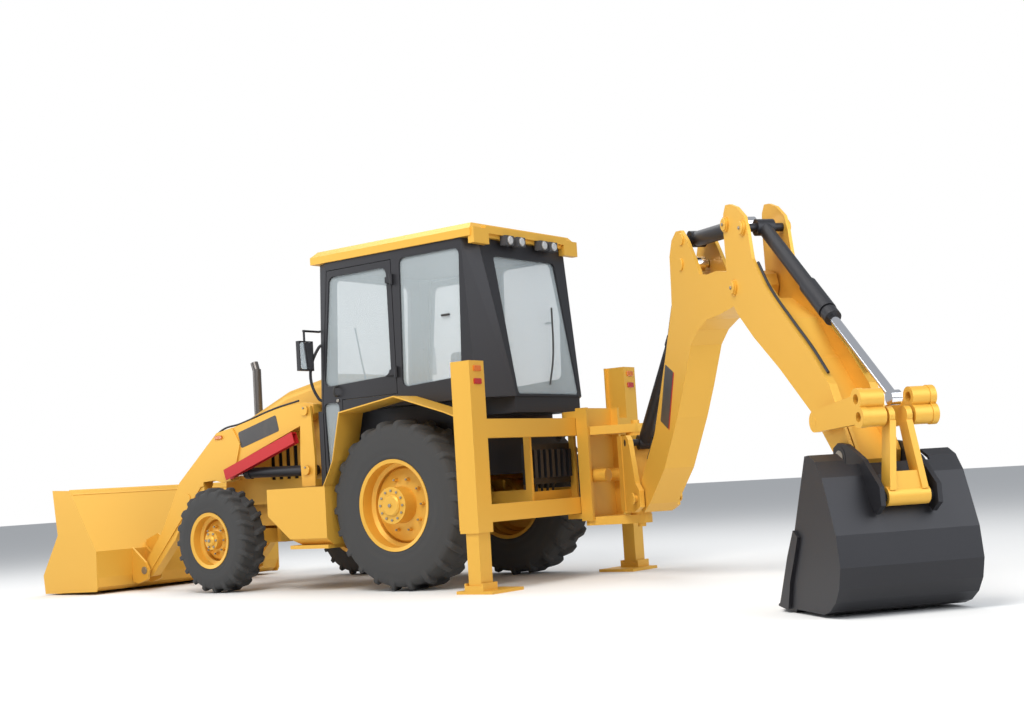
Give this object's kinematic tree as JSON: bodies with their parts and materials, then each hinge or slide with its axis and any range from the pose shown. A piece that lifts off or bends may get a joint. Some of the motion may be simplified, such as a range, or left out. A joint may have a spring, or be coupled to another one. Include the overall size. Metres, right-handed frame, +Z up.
{
  "type": "backhoe loader",
  "caption": "Yellow backhoe loader with a black cab, a loader bucket on lever-linked arms in front and a side-shift digging arm swung to the left behind, level on lugged tyres.",
  "frame": {"origin": "centre of the bounding box on the ground; the rear axle lies 0.385 m ahead of it and the machine's centre plane 0.730 m to its right", "axes": "+X forwards to the loader bucket, +Y to the machine's left, +Z up"},
  "size_m": [9.6472, 3.8163, 2.9453],
  "materials": {
    "yellow_paint": "satin, dusty",
    "black_paint": "satin, dusty",
    "red_paint": "satin",
    "tyre_rubber": "matt, dusty",
    "cylinder_black": "semi-gloss",
    "rod_chrome": "polished",
    "window_glass": "clear, dusty",
    "lamp_housing": "matt",
    "trim_plastic": "grained",
    "seat_fabric": "woven",
    "engine_metal": "rough",
    "exhaust_metal": "dull",
    "bucket_steel": "gloss, scratched"
  },
  "bodies": {
    "chassis": {"main_frame": "yellow_paint", "engine_block": "engine_metal", "hood": "yellow_paint", "grille": "black_paint", "exhaust_stack": "exhaust_metal", "side_boxes": "yellow_paint", "fenders": "yellow_paint", "cab_frame": "black_paint", "cab_glass": "window_glass", "cab_roof": "yellow_paint", "work_lamps": "lamp_housing", "mirrors": "black_paint", "seat": "seat_fabric", "controls": "trim_plastic", "rear_axle": "yellow_paint", "front_axle": "yellow_paint", "stabiliser_frame": "yellow_paint", "valve_bank": "black_paint"},
    "left_door": {"left_door": "black_paint", "left_door_glass": "window_glass"},
    "right_door": {"right_door": "black_paint", "right_door_glass": "window_glass"},
    "left_knuckle": {"left_knuckle": "yellow_paint"},
    "right_knuckle": {"right_knuckle": "yellow_paint"},
    "rear_left_wheel": {"rear_left_rim": "yellow_paint", "rear_left_tyre": "tyre_rubber"},
    "rear_right_wheel": {"rear_right_rim": "yellow_paint", "rear_right_tyre": "tyre_rubber"},
    "front_left_wheel": {"front_left_rim": "yellow_paint", "front_left_tyre": "tyre_rubber"},
    "front_right_wheel": {"front_right_rim": "yellow_paint", "front_right_tyre": "tyre_rubber"},
    "left_stabiliser": {"left_stabiliser": "yellow_paint"},
    "right_stabiliser": {"right_stabiliser": "yellow_paint"},
    "loader_arms": {"loader_arms": "yellow_paint", "safety_brace": "red_paint"},
    "lift_barrels": {"lift_barrels": "cylinder_black"},
    "lift_rods": {"lift_rods": "rod_chrome"},
    "loader_bucket": {"loader_bucket": "yellow_paint"},
    "tilt_levers": {"tilt_levers": "yellow_paint"},
    "tilt_links": {"tilt_links": "yellow_paint"},
    "tilt_barrels": {"tilt_barrels": "cylinder_black"},
    "tilt_rods": {"tilt_rods": "rod_chrome"},
    "carriage": {"carriage": "yellow_paint"},
    "swing_post": {"swing_post": "yellow_paint"},
    "boom": {"boom": "yellow_paint"},
    "boom_barrel": {"boom_barrel": "cylinder_black"},
    "boom_rod": {"boom_rod": "rod_chrome"},
    "stick": {"stick": "yellow_paint"},
    "stick_barrel": {"stick_barrel": "cylinder_black"},
    "stick_rod": {"stick_rod": "rod_chrome"},
    "dig_bucket": {"dig_bucket": "bucket_steel"},
    "bucket_barrel": {"bucket_barrel": "cylinder_black"},
    "bucket_rod": {"bucket_rod": "rod_chrome"},
    "tipping_link": {"tipping_link": "yellow_paint"},
    "bucket_link": {"bucket_link": "yellow_paint"}
  },
  "joints": [
    {"name": "steer_left", "type": "hinge", "parent": "chassis", "child": "left_knuckle", "pos_m": [2.512, 0.015, 0.47], "axis": [0, 0, 1], "range_deg": [-35, 35]},
    {"name": "steer_right", "type": "hinge", "parent": "chassis", "child": "right_knuckle", "pos_m": [2.512, -1.475, 0.47], "axis": [0, 0, 1], "range_deg": [-35, 35]},
    {"name": "rear_left_spin", "type": "hinge", "parent": "chassis", "child": "rear_left_wheel", "pos_m": [0.385, 0.02, 0.7], "axis": [0, 1, 0], "continuous": true},
    {"name": "rear_right_spin", "type": "hinge", "parent": "chassis", "child": "rear_right_wheel", "pos_m": [0.385, -1.48, 0.7], "axis": [0, 1, 0], "continuous": true},
    {"name": "front_left_spin", "type": "hinge", "parent": "left_knuckle", "child": "front_left_wheel", "pos_m": [2.512, 0.185, 0.47], "axis": [0, 1, 0], "continuous": true},
    {"name": "front_right_spin", "type": "hinge", "parent": "right_knuckle", "child": "front_right_wheel", "pos_m": [2.512, -1.645, 0.47], "axis": [0, 1, 0], "continuous": true},
    {"name": "left_door_hinge", "type": "hinge", "parent": "chassis", "child": "left_door", "pos_m": [0.465, 0.005, 1.8], "axis": [0, 0, 1], "range_deg": [0, 95]},
    {"name": "right_door_hinge", "type": "hinge", "parent": "chassis", "child": "right_door", "pos_m": [0.465, -1.465, 1.8], "axis": [0, 0, -1], "range_deg": [0, 95]},
    {"name": "left_stabiliser_slide", "type": "slide", "parent": "chassis", "child": "left_stabiliser", "axis": [0, 0, 1], "range_m": [-0.15, 0.36]},
    {"name": "right_stabiliser_slide", "type": "slide", "parent": "chassis", "child": "right_stabiliser", "axis": [0, 0, 1], "range_m": [-0.15, 0.36]},
    {"name": "loader_lift", "type": "hinge", "parent": "chassis", "child": "loader_arms", "pos_m": [1.535, -0.73, 1.56], "axis": [0, -1, 0], "range_deg": [0, 75]},
    {"name": "lift_barrel_turn", "type": "hinge", "parent": "chassis", "child": "lift_barrels", "pos_m": [1.545, -0.73, 1.04], "axis": [0, -1, 0], "range_deg": [0, 66]},
    {"name": "lift_rod_slide", "type": "slide", "parent": "lift_barrels", "child": "lift_rods", "axis": [0.9998, 0, 0.0186], "range_m": [0, 0.62]},
    {"name": "loader_bucket_tilt", "type": "hinge", "parent": "loader_arms", "child": "loader_bucket", "pos_m": [3.805, -0.73, 0.195], "axis": [0, -1, 0], "range_deg": [-50, 35]},
    {"name": "tilt_lever_turn", "type": "hinge", "parent": "loader_arms", "child": "tilt_levers", "pos_m": [3.18, -0.73, 0.86], "axis": [0, -1, 0], "range_deg": [-32, 40]},
    {"name": "tilt_link_turn", "type": "hinge", "parent": "loader_bucket", "child": "tilt_links", "pos_m": [3.825, -0.73, 0.48], "axis": [0, -1, 0], "range_deg": [-36, 50]},
    {"name": "tilt_barrel_turn", "type": "hinge", "parent": "loader_arms", "child": "tilt_barrels", "pos_m": [1.885, -0.73, 1.5], "axis": [0, -1, 0], "range_deg": [-16, 13]},
    {"name": "tilt_rod_slide", "type": "slide", "parent": "tilt_barrels", "child": "tilt_rods", "axis": [0.9876, 0, -0.1569], "range_m": [-0.3, 0.24]},
    {"name": "side_shift", "type": "slide", "parent": "chassis", "child": "carriage", "axis": [0, 1, 0], "range_m": [-0.1, 1]},
    {"name": "swing", "type": "hinge", "parent": "carriage", "child": "swing_post", "pos_m": [-1.105, -1.18, 1], "axis": [0, 0, 1], "range_deg": [-51.4, 128.6]},
    {"name": "boom_lift", "type": "hinge", "parent": "swing_post", "child": "boom", "pos_m": [-1.41761, -0.93045, 0.64], "axis": [0.6239, 0.7815, 0], "range_deg": [-75, 35]},
    {"name": "stick_swing", "type": "hinge", "parent": "boom", "child": "stick", "pos_m": [-3.16116, 0.46141, 2.02326], "axis": [0.6239, 0.7815, 0], "range_deg": [-80, 8]},
    {"name": "dig_bucket_turn", "type": "hinge", "parent": "stick", "child": "dig_bucket", "pos_m": [-4.24596, 1.3274, 0.85853], "axis": [0.6239, 0.7815, 0], "range_deg": [-95, 60]},
    {"name": "boom_barrel_turn", "type": "hinge", "parent": "swing_post", "child": "boom_barrel", "pos_m": [-1.2613, -1.05522, 1.09], "axis": [0.6239, 0.7815, 0], "range_deg": [-77, 37]},
    {"name": "boom_rod_slide", "type": "slide", "parent": "boom_barrel", "child": "boom_rod", "axis": [-0.587, 0.4686, 0.6602], "range_m": [-0.28, 0.6]},
    {"name": "stick_barrel_turn", "type": "hinge", "parent": "boom", "child": "stick_barrel", "pos_m": [-2.40288, -0.14392, 2.51593], "axis": [0.6239, 0.7815, 0], "range_deg": [-10, 3]},
    {"name": "stick_rod_slide", "type": "slide", "parent": "stick_barrel", "child": "stick_rod", "axis": [-0.78, 0.6226, -0.0634], "range_m": [-0.07, 0.56]},
    {"name": "tipping_link_turn", "type": "hinge", "parent": "stick", "child": "tipping_link", "pos_m": [-4.08954, 1.20253, 1.07738], "axis": [0.6239, 0.7815, 0], "range_deg": [-56, 34]},
    {"name": "bucket_link_turn", "type": "hinge", "parent": "dig_bucket", "child": "bucket_link", "pos_m": [-4.53676, 1.55953, 0.63955], "axis": [0.6239, 0.7815, 0], "range_deg": [-17, 27]},
    {"name": "bucket_barrel_turn", "type": "hinge", "parent": "stick", "child": "bucket_barrel", "pos_m": [-3.32212, 0.58991, 2.38696], "axis": [0.6239, 0.7815, 0], "range_deg": [-11, 7]},
    {"name": "bucket_rod_slide", "type": "slide", "parent": "bucket_barrel", "child": "bucket_rod", "axis": [-0.6093, 0.4864, -0.6263], "range_m": [-0.18, 0.4]}
  ],
  "couplings": [
    {"joint": "steer_right", "follows": "steer_left", "ratio": 1},
    {"joint": "lift_barrel_turn", "follows": "loader_lift", "ratio": 0.8366},
    {"joint": "lift_rod_slide", "follows": "loader_lift", "m_per_rad": 0.4445},
    {"joint": "tilt_lever_turn", "follows": "loader_bucket_tilt", "ratio": -0.5028},
    {"joint": "tilt_link_turn", "follows": "loader_bucket_tilt", "ratio": -0.8952},
    {"joint": "tilt_barrel_turn", "follows": "loader_bucket_tilt", "ratio": 0.1483},
    {"joint": "tilt_rod_slide", "follows": "loader_bucket_tilt", "m_per_rad": 0.1888},
    {"joint": "boom_barrel_turn", "follows": "boom_lift", "ratio": 0.991},
    {"joint": "boom_rod_slide", "follows": "boom_lift", "m_per_rad": -0.4185},
    {"joint": "stick_barrel_turn", "follows": "stick_swing", "ratio": 0.108},
    {"joint": "stick_rod_slide", "follows": "stick_swing", "m_per_rad": -0.3935},
    {"joint": "tipping_link_turn", "follows": "dig_bucket_turn", "ratio": 0.54},
    {"joint": "bucket_link_turn", "follows": "dig_bucket_turn", "ratio": -0.25},
    {"joint": "bucket_barrel_turn", "follows": "dig_bucket_turn", "ratio": 0.11},
    {"joint": "bucket_rod_slide", "follows": "dig_bucket_turn", "m_per_rad": -0.165}
  ]
}
